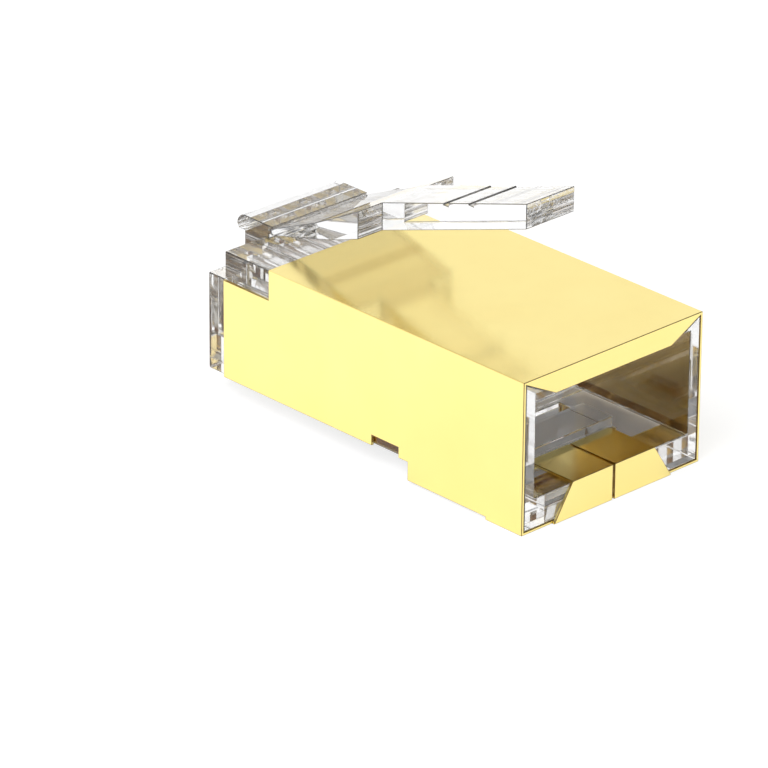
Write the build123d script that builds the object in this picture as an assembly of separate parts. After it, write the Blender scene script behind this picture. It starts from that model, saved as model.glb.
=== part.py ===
from build123d import *
import os

# A shielded eight-way modular plug, in millimetres, not yet crimped, with its load bar seated.
# X runs across the plug, Y from the cable entry to the nose, and Z up, with the contacts underneath.
# Places along Y are measured from the rear of the shield, and the finished pieces are moved so that the plug
# is centred over the origin.

# Shield, folded from one gold-plated sheet
sheet = 0.15
fold_radius = 0.05
shield_width = 11.7
shield_top = 7.75
shield_front = 20.33
roof_front = 17.15
side_ledge = 6.2
flange_length = 2.38
notch_rear, notch_front, notch_top = 8.2, 10.0, 1.64
flap_drop = 0.98
flap_tip_half = 3.79
seam_gap = 0.13
wall_gap = 0.04
tab_root_half, tab_tip_half = 3.87, 2.7
shelf_reach = 2.82
shelf_corner = 0.12
shelf_clearance = 0.01

# Housing, one clear moulding
fit_gap = 0.03
housing_rear = 0.02
nose_front = 21.64
deep_end = 7.5
step_height = 1.14
nose_ledge = 6.16
root_embed = 0.5
crown_top = 7.62
crown_front = 20.38
lead_in = 0.1
cavity_half = 5.06
cavity_floor, cavity_roof = 1.67, 6.97
funnel_rear = 7.4

# Conductors: eight wires, in two staggered rows where the contacts meet them
contact_count = 8
pitch = 1.016
wire_radius = 0.48
lower_row, upper_row = 3.85, 4.95
channel_end = 20.6

# Load bar, which sorts the wires into five columns: pair, single, pair, single, pair
bar_half = 4.55
bar_rear = 8.25
bar_length = 5.75
bar_height, bar_tip_height = 3.05, 2.4
bar_plate, bar_plate_step = 1.0, 0.1
bar_seat = 2.9
bar_clearance = 0.05
column_count = 5
column_pitch = 1.5 * pitch
mouth_half_width, mouth_height, mouth_lip = 0.72, 1.9, 0.12
scoop_depth = 1.2

# Chamber where the wires fan out from the load bar's columns to the comb's channels
fan_half, fan_margin = 4.2, 0.55
fan_end = 14.8

# Contacts: stamped blades that stand proud of the comb until the plug is crimped
blade_thickness = 0.35
blade_rear, blade_front = 14.6, 20.9
blade_bottom = 0.85
blade_nose_radius = 0.55
blade_heel = 0.2
blade_clearance = 0.04
crimp_travel = 0.9
piercing = 0.8
prong_height = 1.05
prong_half = 0.4
prong_count = 3
comb_mouth = 2.5
slot_end_gap, slot_top_gap = 0.08, 0.05

# Strain-relief bar, hinged on a thin web in the floor
relief_half = 2.97
relief_rear = 2.87
relief_crest = 4.9
relief_top = 2.28
relief_bottom = 0.3
relief_gap = 0.12
relief_hinge = (6.55, 0.7)
relief_web_length, relief_web_half = 0.4, 0.15
relief_slope_end = 5.65

# Latch, hinged on a thin web above the nose: a wide blade up to the shoulders, then a narrow lever
latch_half = 3.12
lever_half = 1.555
latch_hinge = (19.75, 8.05)
web_half = 0.175
hinge_clearance = 0.03
blade_top_line = [(18.31, 8.86), (16.93, 9.44), (15.69, 10.06)]
blade_under_line = [(15.75, 8.92), (17.83, 8.36), (18.81, 8.10)]
shoulder = 13.9
shoulder_top, shoulder_bottom = 11.0, 9.56
lever_lap = 0.5
lever_end = 4.32
lever_tip_top, lever_tip_bottom = 13.97, 12.69
grip_places = (9.62, 7.94)
grip_width, grip_depth = 0.3, 0.12

# Latch root, standing on the ledge and the crown, with a rounded lip in front
root_rear, root_front = 20.09, 21.8
root_top = 8.28
lip_front, lip_radius, lip_bottom, lip_bevel = 22.35, 0.55, 7.5, 0.1
tongue_end, tongue_bottom = 19.85, 7.87

# How far a cutting solid runs past the face that it cuts
past = 1

# Worked-out values
shield_half = shield_width / 2
housing_half = shield_half - sheet - fit_gap
housing_top = shield_top - sheet - fit_gap
housing_bottom = sheet + fit_gap
plug_middle = (lip_front - sheet) / 2
bar_front = bar_rear + bar_length
bar_base = bar_seat + shelf_clearance
bar_top = bar_base + bar_height
column_places = [(column - (column_count - 1) / 2) * column_pitch for column in range(column_count)]
shelf_bottom = cavity_floor + shelf_clearance
wire_places = [(number - (contact_count + 1) / 2) * pitch for number in range(1, contact_count + 1)]


def across(outline, half_width, middle=0.0):
    """A solid with one outline in Y and Z all the way across its width."""
    flat = Plane.YZ.offset(middle) * make_face(Polyline(*outline, close=True))
    return extrude(flat, half_width, both=True)


def rod_across(centre, radius, half_width):
    """A round bar along X."""
    place = Plane.YZ * Location((centre[0], centre[1], 0))
    return extrude(place * Circle(radius), half_width, both=True)


def block(x_low, x_high, y_low, y_high, z_low, z_high):
    """A box given by its two ends along each axis."""
    size = (x_high - x_low, y_high - y_low, z_high - z_low)
    middle = ((x_high + x_low) / 2, (y_high + y_low) / 2, (z_high + z_low) / 2)
    return Pos(*middle) * Box(*size)


def bore_along(x, z, y_low, y_high, radius):
    """A round bar along Y, used to cut the wire channels."""
    place = Plane(origin=(x, y_low, z), z_dir=(0, 1, 0))
    return extrude(place * Circle(radius), y_high - y_low)


def is_upper(number):
    """Even wires run in the upper row and odd ones in the lower row."""
    return number % 2 == 0


def row_height(number):
    return upper_row if is_upper(number) else lower_row


def blade_height(number):
    """Tall enough for the crimped prongs to pass through the middle of the wire."""
    return row_height(number) + piercing * wire_radius - blade_bottom - crimp_travel


def shield_wall():
    """One side of the shield, stepped like the plug's body and notched for its retaining lug."""
    outline = [
        (0, 0),
        (flange_length, 0),
        (flange_length, sheet),
        (deep_end + 2 * wall_gap, sheet),
        (deep_end + 2 * wall_gap, step_height - wall_gap),
        (notch_rear, step_height - wall_gap),
        (notch_rear, notch_top),
        (notch_front, notch_top),
        (notch_front, step_height - wall_gap),
        (shield_front, step_height - wall_gap),
        (shield_front, side_ledge),
        (roof_front, side_ledge),
        (roof_front, shield_top),
        (0, shield_top),
    ]
    return across(outline, sheet / 2, shield_half - sheet / 2)


def shield_tab():
    """Half of the bottom flange, with its tab folded up over the rear and in over the cavity floor."""
    inner = seam_gap / 2
    shelf_top = shelf_bottom + sheet
    flange = block(inner, shield_half, 0, flange_length, 0, sheet)
    upright_outline = [(inner, 0), (tab_root_half, 0), (tab_tip_half, shelf_top), (inner, shelf_top)]
    upright = extrude(Plane.XZ * make_face(Polyline(*upright_outline, close=True)), sheet)
    shelf_outline = [
        (inner, -sheet),
        (tab_tip_half, -sheet),
        (tab_tip_half, shelf_reach - shelf_corner),
        (tab_tip_half - shelf_corner, shelf_reach),
        (inner, shelf_reach),
    ]
    shelf_face = Plane.XY.offset(shelf_bottom) * make_face(Polyline(*shelf_outline, close=True))
    return flange + upright + extrude(shelf_face, sheet)


def flap_form(gap):
    """The flap over the top of the cable entry, with slanted ends, or with a gap the seat that it lies in."""
    root_z, tip_z = shield_top - sheet, shield_top - sheet - flap_drop - gap
    root_x, tip_x = shield_half - sheet + gap, flap_tip_half + gap
    outline = [(-root_x, root_z), (root_x, root_z), (tip_x, tip_z), (-tip_x, tip_z)]
    return extrude(Plane.XZ * make_face(Polyline(*outline, close=True)), -sheet - gap)


def make_shield():
    """The folded shield: roof, two walls, rear flap and two tabs, with rounded folds along the roof."""
    roof = block(-shield_half, shield_half, 0, roof_front, shield_top - sheet, shield_top)
    wall, tab = shield_wall(), shield_tab()
    shell = roof + wall + mirror(wall, Plane.YZ) + tab + mirror(tab, Plane.YZ) + flap_form(0)
    folds = shell.edges().filter_by(Axis.Y).group_by(Axis.Z)[-1]
    return fillet(folds, fold_radius)


def body_block():
    """The moulding's outer form: the deep cable end, the comb end and the crown under the latch."""
    outline = [
        (housing_rear, housing_bottom),
        (deep_end, housing_bottom),
        (deep_end, step_height),
        (nose_front, step_height),
        (nose_front, nose_ledge),
        (crown_front, nose_ledge),
        (crown_front, crown_top),
        (roof_front + fit_gap, crown_top),
        (roof_front + fit_gap, housing_top),
        (housing_rear, housing_top),
    ]
    body = across(outline, housing_half)
    nose_edges = body.faces().sort_by(Axis.Y)[-1].edges()
    return chamfer(nose_edges, lead_in)


def cable_space():
    """The open cable end, its funnel, the pocket for the load bar and the chamber where the wires fan out."""
    cavity_middle = (cavity_floor + cavity_roof) / 2
    pocket_rear, pocket_front = bar_rear - bar_clearance, bar_front + bar_clearance
    pocket_half = bar_half + bar_clearance
    pocket_roof = bar_seat + bar_height + bar_clearance
    pocket_middle = (bar_seat + pocket_roof) / 2
    mouth = Plane(origin=(0, funnel_rear, cavity_middle), x_dir=(1, 0, 0), z_dir=(0, 1, 0))
    throat = Plane(origin=(0, pocket_rear, pocket_middle), x_dir=(1, 0, 0), z_dir=(0, 1, 0))
    funnel = loft([
        mouth * Rectangle(2 * cavity_half, cavity_roof - cavity_floor),
        throat * Rectangle(2 * pocket_half, pocket_roof - bar_seat),
    ])
    cavity = block(-cavity_half, cavity_half, -past, funnel_rear, cavity_floor, cavity_roof)
    pocket = block(-pocket_half, pocket_half, pocket_rear, pocket_front, bar_seat, pocket_roof)
    fan = block(-fan_half, fan_half, pocket_front, fan_end, lower_row - fan_margin, upper_row + fan_margin)
    return cavity + funnel + pocket + fan


def wire_way(number):
    """One wire channel, with the slot that its contact is pressed up through."""
    x = wire_places[number - 1]
    half = blade_thickness / 2 + blade_clearance
    slot_top = blade_bottom + crimp_travel + blade_height(number) + slot_top_gap
    outline = [
        (blade_rear - slot_end_gap, 0),
        (nose_front + past, 0),
        (nose_front + past, comb_mouth),
        (blade_front + slot_end_gap, comb_mouth),
        (blade_front + slot_end_gap, slot_top),
        (blade_rear - slot_end_gap, slot_top),
    ]
    channel = bore_along(x, row_height(number), fan_end - slot_end_gap, channel_end, wire_radius)
    return across(outline, half, x) + channel


def relief_window():
    """The window in the floor around the strain-relief bar, with the seat of its web."""
    half = relief_half + relief_gap
    window = block(-half, half, relief_rear - relief_gap, relief_hinge[0], -past, relief_top)
    return window + rod_across(relief_hinge, web_half + hinge_clearance, half)


def latch_root():
    """The upright root that carries the latch's hinge, with a tongue behind and a lip in front."""
    foot = nose_ledge - root_embed
    back = [
        (lip_front - lip_radius, root_top),
        (tongue_end, root_top),
        (tongue_end, tongue_bottom),
        (root_rear, tongue_bottom),
        (root_rear, foot),
        (root_front, foot),
        (root_front, lip_bottom),
        (lip_front - lip_bevel, lip_bottom),
        (lip_front, root_top - lip_radius),
    ]
    lip = RadiusArc(back[-1], back[0], -lip_radius)
    face = Plane.YZ * make_face(Polyline(*back) + lip)
    seat = rod_across(latch_hinge, web_half + hinge_clearance, latch_half + past)
    ledge_space = block(-latch_half, latch_half, nose_front, root_front + past, 0, nose_ledge)
    return extrude(face, latch_half, both=True) - seat - ledge_space


def make_housing():
    """The clear moulding, open at the cable end, with the contact comb at its nose."""
    body = body_block() - cable_space() - relief_window() - flap_form(fit_gap)
    for number in range(1, contact_count + 1):
        body -= wire_way(number)
    return body + latch_root()


def grip_groove(place):
    """One cross groove in the lever's sloping top, where a finger presses it."""
    slope = (lever_tip_top - shoulder_top) / (shoulder - lever_end)
    top = shoulder_top + slope * (shoulder - place)
    rear, front = place - grip_width / 2, place + grip_width / 2
    return block(-latch_half, latch_half, rear, front, top - grip_depth, top + past)


def make_latch():
    """The latch: a wide blade up to the locking shoulders, then a narrow lever with two grip grooves."""
    hinge_y, hinge_z = latch_hinge
    blade_outline = [
        (hinge_y, hinge_z + web_half),
        *blade_top_line,
        (shoulder, shoulder_top),
        (shoulder, shoulder_bottom),
        *blade_under_line,
        (hinge_y, hinge_z - web_half),
    ]
    lever_outline = [
        (shoulder + lever_lap, shoulder_top - lever_lap),
        (shoulder, shoulder_top),
        (lever_end, lever_tip_top),
        (lever_end, lever_tip_bottom),
        (shoulder, shoulder_bottom),
        (shoulder + lever_lap, shoulder_bottom),
    ]
    latch = across(blade_outline, latch_half) + across(lever_outline, lever_half)
    latch += rod_across(latch_hinge, web_half, latch_half)
    for place in grip_places:
        latch -= grip_groove(place)
    return latch


def make_relief():
    """The strain-relief bar, standing a little into the cable space, ready to be pressed in."""
    hinge_y, hinge_z = relief_hinge
    outline = [
        (relief_rear, relief_bottom),
        (relief_rear, relief_top),
        (relief_crest, relief_top),
        (hinge_y - relief_web_length, hinge_z + relief_web_half),
        (hinge_y, hinge_z + relief_web_half),
        (hinge_y, hinge_z - relief_web_half),
        (hinge_y - relief_web_length, hinge_z - relief_web_half),
        (relief_slope_end, relief_bottom),
    ]
    return across(outline, relief_half) + rod_across(relief_hinge, web_half, relief_half)


def wire_scoop(x, row):
    """A tall mouth in the load bar's near face that narrows to one wire's channel."""
    middle = bar_base + mouth_lip + mouth_height / 2
    mouth = Plane(origin=(x, bar_rear, middle), x_dir=(1, 0, 0), z_dir=(0, 1, 0))
    throat = Plane(origin=(x, bar_rear + scoop_depth, row), x_dir=(1, 0, 0), z_dir=(0, 1, 0))
    return loft([mouth * Ellipse(mouth_half_width, mouth_height / 2), throat * Circle(wire_radius)])


def make_load_bar():
    """The load bar: five open grooves above, and a closed channel below under every other groove."""
    outline = [
        (bar_rear, bar_base),
        (bar_front, bar_base),
        (bar_front, bar_base + bar_tip_height),
        (bar_rear + bar_plate, bar_top - bar_plate_step),
        (bar_rear + bar_plate, bar_top),
        (bar_rear, bar_top),
    ]
    bar = across(outline, bar_half)
    for column, x in enumerate(column_places):
        holds_pair = column % 2 == 0
        left, right = x - wire_radius, x + wire_radius
        bar -= bore_along(x, upper_row, bar_rear - past, bar_front + past, wire_radius)
        bar -= block(left, right, bar_rear + bar_plate, bar_front + past, upper_row, bar_top + past)
        if holds_pair:
            bar -= bore_along(x, lower_row, bar_rear - past, bar_front + past, wire_radius)
        bar -= wire_scoop(x, lower_row if holds_pair else upper_row)
    return bar


def make_contact(number):
    """One contact blade: a rounded nose below, and three prongs that pierce the wire."""
    top = blade_bottom + blade_height(number)
    root = top - prong_height
    spacing = (blade_front - blade_rear) / prong_count
    crown = [(blade_front, root)]
    for index in range(prong_count):
        middle = blade_front - spacing * (index + 0.5)
        crown += [(middle + prong_half, root), (middle, top), (middle - prong_half, root)]
    crown.append((blade_rear, root))
    outline = crown + [(blade_rear, blade_bottom + blade_heel), (blade_rear + blade_heel, blade_bottom)]
    nose_start = (blade_front - blade_nose_radius, blade_bottom)
    nose_end = (blade_front, blade_bottom + blade_nose_radius)
    edge = Polyline(*outline, nose_start)
    nose = RadiusArc(nose_start, nose_end, -blade_nose_radius)
    face = make_face(edge + nose + Line(nose_end, crown[0]))
    x = wire_places[number - 1]
    return extrude(Plane.YZ.offset(x) * face, blade_thickness / 2, both=True)


def save(piece, name):
    export_step(Pos(0, -plug_middle, 0) * piece, f"parts/{name}.step")


os.makedirs("parts", exist_ok=True)
save(make_shield(), "shield")
save(make_housing(), "housing")
save(make_latch(), "latch")
save(make_relief(), "strain_relief_bar")
save(make_load_bar(), "load_bar")
for blade_number in range(1, contact_count + 1):
    save(make_contact(blade_number), f"contact_{blade_number}")
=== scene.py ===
import bpy
from math import radians, sin, cos
from mathutils import Matrix, Vector


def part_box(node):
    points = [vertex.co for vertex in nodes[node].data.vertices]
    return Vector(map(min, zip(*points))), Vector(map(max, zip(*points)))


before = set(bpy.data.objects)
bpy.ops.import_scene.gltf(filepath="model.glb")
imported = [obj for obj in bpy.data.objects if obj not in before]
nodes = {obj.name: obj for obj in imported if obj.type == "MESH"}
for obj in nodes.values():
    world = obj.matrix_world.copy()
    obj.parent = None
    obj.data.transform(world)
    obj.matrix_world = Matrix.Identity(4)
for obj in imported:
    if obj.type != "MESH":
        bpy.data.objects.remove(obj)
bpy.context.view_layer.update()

MM = 0.001

# Below, a pair of numbers is the start and the end of a range or of a soft step.

# Camera, fitted to the straight edges of the plug in the photograph
IMAGE_SIDE = 768
FOCAL_PIXELS = 6061.6
SENSOR = 36.0
CLIP_START = 10 * MM
CAMERA_AZIMUTH = radians(-43.672)
CAMERA_ELEVATION = radians(25.095)
CAMERA_ROLL = radians(0.428)
CAMERA_DISTANCE = 282.98 * MM
CAMERA_TARGET = Vector((-5.154, -1.177, 4.090)) * MM

# Studio, where a strength of 1 is white: a room with a dimmer, warmer top and one dark side
AMBIENT = 0.42
STUDIO_WHITE = 1.05
STUDIO_TOP = 0.66
STUDIO_DARK = 0.12
ROOM_COLOUR = (1.0, 1.0, 1.0)
TOP_COLOUR = (1.0, 0.92, 0.85)
TOP_TOWARD = (0, 0, 1)
TOP_EDGE = (0.46, 0.56)
DARK_TOWARD = (0.626, -0.655, 0.424)
DARK_EDGE = (0.88, 0.97)

# Floor: its own glow and its white, for the camera, in metal, and through plastic
FLOOR_SIDE = 4.0
GLOW_CAMERA = 0.8
GLOW_METAL = 0.45
GLOW_PLASTIC = 0.12
WHITE_CAMERA = 0.3
WHITE_METAL = 0.72
WHITE_PLASTIC = 0.95

# Lamps
SUN_STRENGTH = 2.2
SUN_SPREAD = radians(40)
SUN_FROM = Vector((-0.6, -0.08, 0.74))
POOL_POWER = 0.12
POOL_PLACE = Vector((-22, 14, 110)) * MM
POOL_CONE = radians(26)
POOL_BLEND = 1.0
POOL_SIZE = 10 * MM

# Light passes many clear walls one behind another, so it needs more bounces than the default
CLEAR_BOUNCES = 40
GLOSSY_BOUNCES = 24

# Noise, in turns per metre: the drift of a plate's colour, the grain of a polish, and long waves
GOLD_DRIFT = 260
EDGE_SHADE_DRIFT = 700
PLASTIC_GRAIN = 900
METAL_GRAIN = 1400
PLASTIC_WAVES = 200
METAL_WAVES = 220

# Detail of that noise, and the strength and height of the waves
GRAIN_DETAIL = 2.0
WAVE_DETAIL = 1.0
PLASTIC_WAVINESS = 0.01
METAL_WAVINESS = 0.3
WAVE_HEIGHT = 0.01 * MM

# Clear plastic, polished outside and a little rougher in the comb: the slots and channels of the nose
PLASTIC_COLOUR = (0.99, 0.992, 0.995)
PLASTIC_IOR = 1.585
PLASTIC_POLISH = (0.0, 0.03)
COMB_POLISH = (0.1, 0.16)
COMB_HALF = (4.3 * MM, 4.4 * MM)
COMB_BOTTOM = (1.2 * MM, 1.3 * MM)
COMB_TOP = (6.0 * MM, 6.1 * MM)
COMB_REAR = (3.0 * MM, 3.1 * MM)
COMB_FRONT = (10.0 * MM, 10.1 * MM)

# Moulded edges: painted shade, a dark line on the outside of the plug, which is above this height or past
# this half width, and a lighter grey in the slots
OUTSIDE_EDGE_PAINTED_SHADE = (0.05, 0.05, 0.053)
SLOT_EDGE_PAINTED_SHADE = (0.7, 0.7, 0.71)
EDGE_POLISH = (0.05, 0.12)
OUTSIDE_HEIGHT = (4.6 * MM, 5.4 * MM)
OUTSIDE_HALF = (5.1 * MM, 5.3 * MM)

# Shield: gold plate with a faint random drift of tone outside, painted shade on faces that look in or down,
# and painted shade along the edges
OUTER_GOLD = (1.0, 0.852, 0.338)
GOLD_SHADE = (0.97, 0.93, 0.85)
SHADED_INNER_GOLD = (0.68, 0.48, 0.16)
INNER_LEAN = (-0.7, -0.5)
SHIELD_POLISH = (0.15, 0.21)
EDGE_SHADE_LIGHT = (0.26, 0.18, 0.07)
EDGE_SHADE_DARK = (0.17, 0.11, 0.04)
SHIELD_EDGE_POLISH = (0.3, 0.4)

# Contacts: gold along the lower edge, which meets the jack's springs, and nickel above
BLADE_GOLD = (0.98, 0.8, 0.4)
BLADE_NICKEL = (0.84, 0.82, 0.78)
BLADE_POLISH = (0.1, 0.16)
BLADE_GOLD_HEIGHT = 1.3 * MM
BLADE_GOLD_FADE = 0.1 * MM

# Small rounding of the sharp edges, which can have its own material in the second slot
EDGE_PLASTIC = 0.038 * MM
EDGE_FINE = 0.018 * MM
EDGE_METAL = 0.012 * MM
EDGE_SHIELD = 0.03 * MM
EDGE_SEGMENTS = 2
SHARP_ANGLE = radians(35)
WELD_DISTANCE = 0.0005 * MM
EDGE_SLOT = 1

# Sockets of Blender's Mix node: its first value, its second value and its result
MIX_SOCKETS = {"FLOAT": (2, 3, 0), "RGBA": (6, 7, 2)}


def set_input(tree, socket, value):
    """Gives a socket a number, a colour or another node's output."""
    if isinstance(value, bpy.types.NodeSocket):
        tree.links.new(value, socket)
    elif isinstance(value, tuple):
        socket.default_value = (*value, 1)
    else:
        socket.default_value = value


def calculate(tree, operation, *values):
    """One step of arithmetic on numbers or outputs."""
    node = tree.nodes.new("ShaderNodeMath")
    node.operation = operation
    for socket, value in zip(node.inputs, values):
        set_input(tree, socket, value)
    return node.outputs[0]


def mix(tree, kind, share, first, second):
    """The first value where the share is 0 and the second where it is 1."""
    node = tree.nodes.new("ShaderNodeMix")
    node.data_type = kind
    first_socket, second_socket, result = MIX_SOCKETS[kind]
    set_input(tree, node.inputs[0], share)
    set_input(tree, node.inputs[first_socket], first)
    set_input(tree, node.inputs[second_socket], second)
    return node.outputs[result]


def ramp(tree, value, before, after, interpolation="SMOOTHSTEP"):
    """Takes a value from one range to another, and holds it at the ends."""
    node = tree.nodes.new("ShaderNodeMapRange")
    node.interpolation_type = interpolation
    set_input(tree, node.inputs["Value"], value)
    node.inputs["From Min"].default_value = before[0]
    node.inputs["From Max"].default_value = before[1]
    node.inputs["To Min"].default_value = after[0]
    node.inputs["To Max"].default_value = after[1]
    return node.outputs["Result"]


def rise(tree, value, step):
    """0 below the step and 1 above it."""
    return ramp(tree, value, step, (0.0, 1.0))


def fall(tree, value, step):
    """1 below the step and 0 above it."""
    return ramp(tree, value, step, (1.0, 0.0))


def coordinates(tree, kind):
    """A texture coordinate of this kind, parted into its X, Y and Z."""
    place = tree.nodes.new("ShaderNodeTexCoord")
    parts = tree.nodes.new("ShaderNodeSeparateXYZ")
    set_input(tree, parts.inputs[0], place.outputs[kind])
    return parts.outputs


def noise(tree, turns, detail=GRAIN_DETAIL):
    """Noise from 0 to 1 in the object's own coordinates."""
    place = tree.nodes.new("ShaderNodeTexCoord")
    texture = tree.nodes.new("ShaderNodeTexNoise")
    texture.inputs["Scale"].default_value = turns
    texture.inputs["Detail"].default_value = detail
    set_input(tree, texture.inputs["Vector"], place.outputs["Object"])
    return texture.outputs["Fac"]


def grain(tree, turns, polish):
    """A roughness that drifts within the two values of a polish."""
    return ramp(tree, noise(tree, turns), (0.0, 1.0), polish, "LINEAR")


def add_waves(tree, shader, turns, strength):
    """The faint long waves of a rolled or moulded face."""
    node = tree.nodes.new("ShaderNodeBump")
    node.inputs["Strength"].default_value = strength
    node.inputs["Distance"].default_value = WAVE_HEIGHT
    set_input(tree, node.inputs["Height"], noise(tree, turns, WAVE_DETAIL))
    set_input(tree, shader.inputs["Normal"], node.outputs["Normal"])


def new_material(name):
    """A new material, with its node tree and its Principled shader."""
    material = bpy.data.materials.new(name)
    material.use_nodes = True
    return material, material.node_tree, material.node_tree.nodes["Principled BSDF"]


def new_clear(name):
    """A see-through material, to be given its colour and roughness."""
    material, tree, shader = new_material(name)
    shader.inputs["Transmission Weight"].default_value = 1.0
    shader.inputs["IOR"].default_value = PLASTIC_IOR
    return material, tree, shader


def new_metal(name, polish):
    """A metal with this polish, to be given its colour."""
    material, tree, shader = new_material(name)
    shader.inputs["Metallic"].default_value = 1.0
    set_input(tree, shader.inputs["Roughness"], grain(tree, METAL_GRAIN, polish))
    return material, tree, shader


def in_comb(tree):
    """1 on the faces of the slots and channels inside the nose, which the mould leaves less polished."""
    place = coordinates(tree, "Object")
    inside = fall(tree, calculate(tree, "ABSOLUTE", place["X"]), COMB_HALF)
    for limit in (
        rise(tree, place["Y"], COMB_REAR),
        fall(tree, place["Y"], COMB_FRONT),
        rise(tree, place["Z"], COMB_BOTTOM),
        fall(tree, place["Z"], COMB_TOP),
    ):
        inside = calculate(tree, "MULTIPLY", inside, limit)
    return inside


def clear_plastic():
    """Polished polycarbonate, with the faint waviness of a moulded face."""
    material, tree, shader = new_clear("clear_plastic")
    set_input(tree, shader.inputs["Base Color"], PLASTIC_COLOUR)
    outside = grain(tree, PLASTIC_GRAIN, PLASTIC_POLISH)
    comb = grain(tree, PLASTIC_GRAIN, COMB_POLISH)
    set_input(tree, shader.inputs["Roughness"], mix(tree, "FLOAT", in_comb(tree), outside, comb))
    add_waves(tree, shader, PLASTIC_WAVES, PLASTIC_WAVINESS)
    return material


def edge_plastic_with_painted_shade():
    """The same plastic along a moulded edge, with painted shade: a dark line outside and a lighter grey in
    the slots.
    """
    material, tree, shader = new_clear("plastic_painted_shade_edge")
    place = coordinates(tree, "Object")
    sideways = rise(tree, calculate(tree, "ABSOLUTE", place["X"]), OUTSIDE_HALF)
    outside = calculate(tree, "MAXIMUM", rise(tree, place["Z"], OUTSIDE_HEIGHT), sideways)
    # Painted shade: the edge's colour is darkened, dark outside and grey in the slots
    colour = mix(tree, "RGBA", outside, SLOT_EDGE_PAINTED_SHADE, OUTSIDE_EDGE_PAINTED_SHADE)
    set_input(tree, shader.inputs["Base Color"], colour)
    set_input(tree, shader.inputs["Roughness"], grain(tree, PLASTIC_GRAIN, EDGE_POLISH))
    return material


def painted_shade_facing_in(tree):
    """1 on the faces of the folded sheet that look in from its sides or down, which get painted shade, and
    0 on the rest.
    """
    normal = coordinates(tree, "Normal")
    place = coordinates(tree, "Object")
    outward = calculate(tree, "MULTIPLY", normal["X"], calculate(tree, "SIGN", place["X"]))
    lean = calculate(tree, "MINIMUM", outward, normal["Z"])
    return fall(tree, lean, INNER_LEAN)


def shield_plate():
    """Gold plate over rolled sheet, with painted shade on faces that look in or down: soft reflections and
    a faint drift of colour.
    """
    material, tree, shader = new_metal("shield_gold", SHIELD_POLISH)
    shaded = tuple(gold * shade for gold, shade in zip(OUTER_GOLD, GOLD_SHADE))
    outer = mix(tree, "RGBA", noise(tree, GOLD_DRIFT), OUTER_GOLD, shaded)
    # Painted shade: faces that look in or down get a darker gold
    set_input(tree, shader.inputs["Base Color"], mix(tree, "RGBA", painted_shade_facing_in(tree), outer, SHADED_INNER_GOLD))
    add_waves(tree, shader, METAL_WAVES, METAL_WAVINESS)
    return material


def edge_metal_with_painted_shade():
    """The thin line along a stamped or folded edge, darkened with painted shade."""
    material, tree, shader = new_metal("metal_edge", SHIELD_EDGE_POLISH)
    # Painted shade: a dark line along the shield's edges
    colour = mix(tree, "RGBA", noise(tree, EDGE_SHADE_DRIFT), EDGE_SHADE_LIGHT, EDGE_SHADE_DARK)
    set_input(tree, shader.inputs["Base Color"], colour)
    return material


def blade_plate(low):
    """A blade's selective plate: gold along its lower edge, and bright nickel from there up."""
    material, tree, shader = new_metal("contact_gold", BLADE_POLISH)
    height = coordinates(tree, "Object")["Z"]
    top = low + BLADE_GOLD_HEIGHT
    above = rise(tree, height, (top, top + BLADE_GOLD_FADE))
    colour = mix(tree, "RGBA", above, BLADE_GOLD, BLADE_NICKEL)
    set_input(tree, shader.inputs["Base Color"], colour)
    add_waves(tree, shader, METAL_WAVES, METAL_WAVINESS)
    return material


def dress(node_name, material, edge, edge_material=None):
    """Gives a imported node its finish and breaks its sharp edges."""
    piece = nodes[node_name]
    piece.data.materials.clear()
    piece.data.materials.append(material)
    weld = piece.modifiers.new("weld", "WELD")
    weld.merge_threshold = WELD_DISTANCE
    bevel = piece.modifiers.new("edges", "BEVEL")
    bevel.width = edge
    bevel.segments = EDGE_SEGMENTS
    bevel.limit_method = "ANGLE"
    bevel.angle_limit = SHARP_ANGLE
    bevel.use_clamp_overlap = False
    bevel.loop_slide = False
    if edge_material:
        piece.data.materials.append(edge_material)
        bevel.material = EDGE_SLOT


def dress_plug():
    """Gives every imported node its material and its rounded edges."""
    plastic = clear_plastic()
    plastic_painted_shade_edge = edge_plastic_with_painted_shade()
    for name in ("housing", "latch", "strain_relief_bar"):
        dress(name, plastic, EDGE_PLASTIC, plastic_painted_shade_edge)
    dress("load_bar", plastic, EDGE_FINE, plastic_painted_shade_edge)
    dress("shield", shield_plate(), EDGE_SHIELD, edge_metal_with_painted_shade())
    lowest_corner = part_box("contact_1")[0]
    plate = blade_plate(lowest_corner[2])
    for name in sorted(nodes):
        if name.startswith("contact_"):
            dress(name, plate, EDGE_METAL)


def by_ray(tree, otherwise, levels):
    """One level for each kind of ray that is named, and another for all the rest."""
    path = tree.nodes.new("ShaderNodeLightPath")
    level = otherwise
    for kind, value in levels.items():
        level = mix(tree, "FLOAT", path.outputs["Is " + kind + " Ray"], level, value)
    return level


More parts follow.
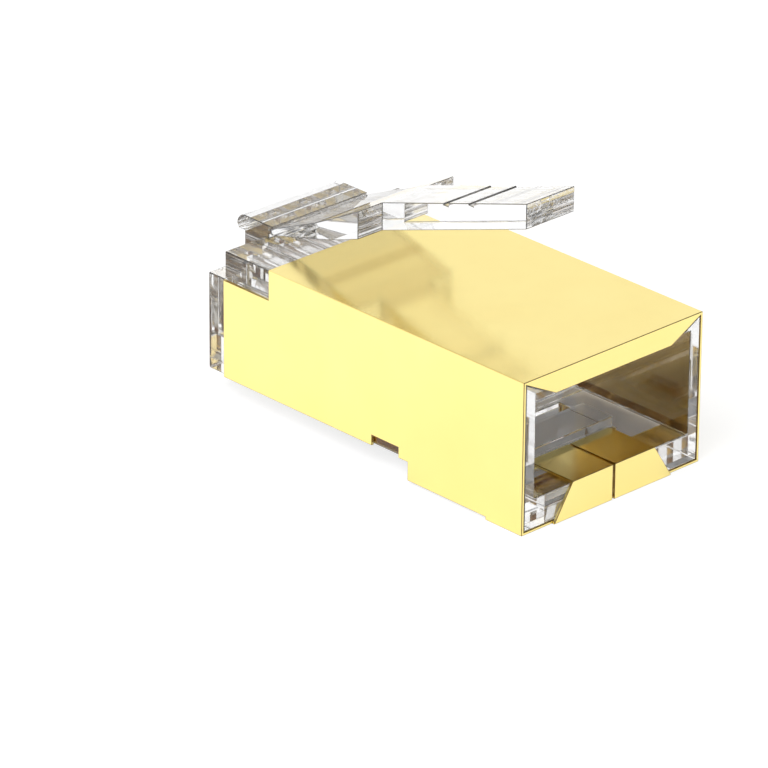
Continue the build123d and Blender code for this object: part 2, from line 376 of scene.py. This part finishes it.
def add_floor():
    """A plain white floor that keeps the plug's soft shadow."""
    bpy.ops.mesh.primitive_plane_add(size=FLOOR_SIDE, location=(0, 0, 0))
    floor = bpy.context.object
    floor.name = "floor"
    material, tree, shader = new_material("floor_white")
    tree.nodes.remove(shader)
    white = by_ray(tree, WHITE_METAL, {"Camera": WHITE_CAMERA, "Transmission": WHITE_PLASTIC})
    level = by_ray(tree, 0.0, {"Camera": GLOW_CAMERA, "Glossy": GLOW_METAL, "Transmission": GLOW_PLASTIC})
    diffuse = tree.nodes.new("ShaderNodeBsdfDiffuse")
    set_input(tree, diffuse.inputs["Color"], white)
    glow = tree.nodes.new("ShaderNodeEmission")
    set_input(tree, glow.inputs["Strength"], level)
    both = tree.nodes.new("ShaderNodeAddShader")
    set_input(tree, both.inputs[0], diffuse.outputs[0])
    set_input(tree, both.inputs[1], glow.outputs[0])
    set_input(tree, tree.nodes["Material Output"].inputs["Surface"], both.outputs[0])
    floor.data.materials.append(material)


def toward(tree, direction):
    """How far a direction of the world leans toward another: 1 along it, 0 square to it."""
    place = tree.nodes.new("ShaderNodeTexCoord")
    node = tree.nodes.new("ShaderNodeVectorMath")
    node.operation = "DOT_PRODUCT"
    node.inputs[1].default_value = Vector(direction).normalized()
    set_input(tree, node.inputs[0], place.outputs["Generated"])
    return node.outputs["Value"]


def add_world():
    """White to the camera, the room to metal and plastic, and an even light on all else."""
    world = bpy.data.worlds.new("studio")
    world.use_nodes = True
    bpy.context.scene.world = world
    tree = world.node_tree
    background = tree.nodes["Background"]
    top = rise(tree, toward(tree, TOP_TOWARD), TOP_EDGE)
    dark_side = ramp(tree, toward(tree, DARK_TOWARD), DARK_EDGE, (1.0, STUDIO_DARK))
    room = calculate(tree, "MULTIPLY", mix(tree, "FLOAT", top, STUDIO_WHITE, STUDIO_TOP), dark_side)
    level = by_ray(tree, AMBIENT, {"Glossy": room, "Transmission": room, "Camera": STUDIO_WHITE})
    set_input(tree, background.inputs["Strength"], level)
    warm = by_ray(tree, 0.0, {"Glossy": top, "Transmission": top})
    set_input(tree, background.inputs["Color"], mix(tree, "RGBA", warm, ROOM_COLOUR, TOP_COLOUR))


def add_lamp(name, kind, power):
    """A lamp for the floor only: metal and plastic see the studio's own light, with no lamp in it."""
    lamp = bpy.data.objects.new(name, bpy.data.lights.new(name, kind))
    lamp.data.energy = power
    lamp.visible_glossy = False
    lamp.visible_transmission = False
    bpy.context.scene.collection.objects.link(lamp)
    return lamp


def add_sun():
    """A wide sun, which gives the plug its soft shadow on the floor."""
    sun = add_lamp("key", "SUN", SUN_STRENGTH)
    sun.data.angle = SUN_SPREAD
    sun.rotation_euler = SUN_FROM.to_track_quat("Z", "Y").to_euler()


def add_pool():
    """A soft spot on the floor beside the nose, which the near side of the shield reflects."""
    pool = add_lamp("pool", "SPOT", POOL_POWER)
    pool.location = POOL_PLACE
    pool.data.spot_size = POOL_CONE
    pool.data.spot_blend = POOL_BLEND
    pool.data.shadow_soft_size = POOL_SIZE


def camera_axes():
    """Right, up and back of the camera, in the plug's frame."""
    reach = cos(CAMERA_ELEVATION)
    back = Vector((sin(CAMERA_AZIMUTH) * reach, -cos(CAMERA_AZIMUTH) * reach, sin(CAMERA_ELEVATION)))
    level = Vector((cos(CAMERA_AZIMUTH), sin(CAMERA_AZIMUTH), 0))
    upright = back.cross(level)
    right = level * cos(CAMERA_ROLL) + upright * sin(CAMERA_ROLL)
    up = upright * cos(CAMERA_ROLL) - level * sin(CAMERA_ROLL)
    return right, up, back


def add_camera():
    """The camera at the photograph's viewing angle."""
    data = bpy.data.cameras.new("camera")
    data.sensor_width = SENSOR
    data.lens = SENSOR * FOCAL_PIXELS / IMAGE_SIDE
    data.clip_start = CLIP_START
    camera = bpy.data.objects.new("camera", data)
    bpy.context.scene.collection.objects.link(camera)
    right, up, back = camera_axes()
    turn = Matrix((right, up, back)).transposed().to_4x4()
    camera.matrix_world = Matrix.Translation(CAMERA_TARGET + back * CAMERA_DISTANCE) @ turn
    bpy.context.scene.camera = camera


dress_plug()
add_camera()
add_world()
add_sun()
add_pool()
add_floor()

bpy.context.scene.view_settings.view_transform = "Standard"
bpy.context.scene.cycles.max_bounces = CLEAR_BOUNCES
bpy.context.scene.cycles.transmission_bounces = CLEAR_BOUNCES
bpy.context.scene.cycles.glossy_bounces = GLOSSY_BOUNCES
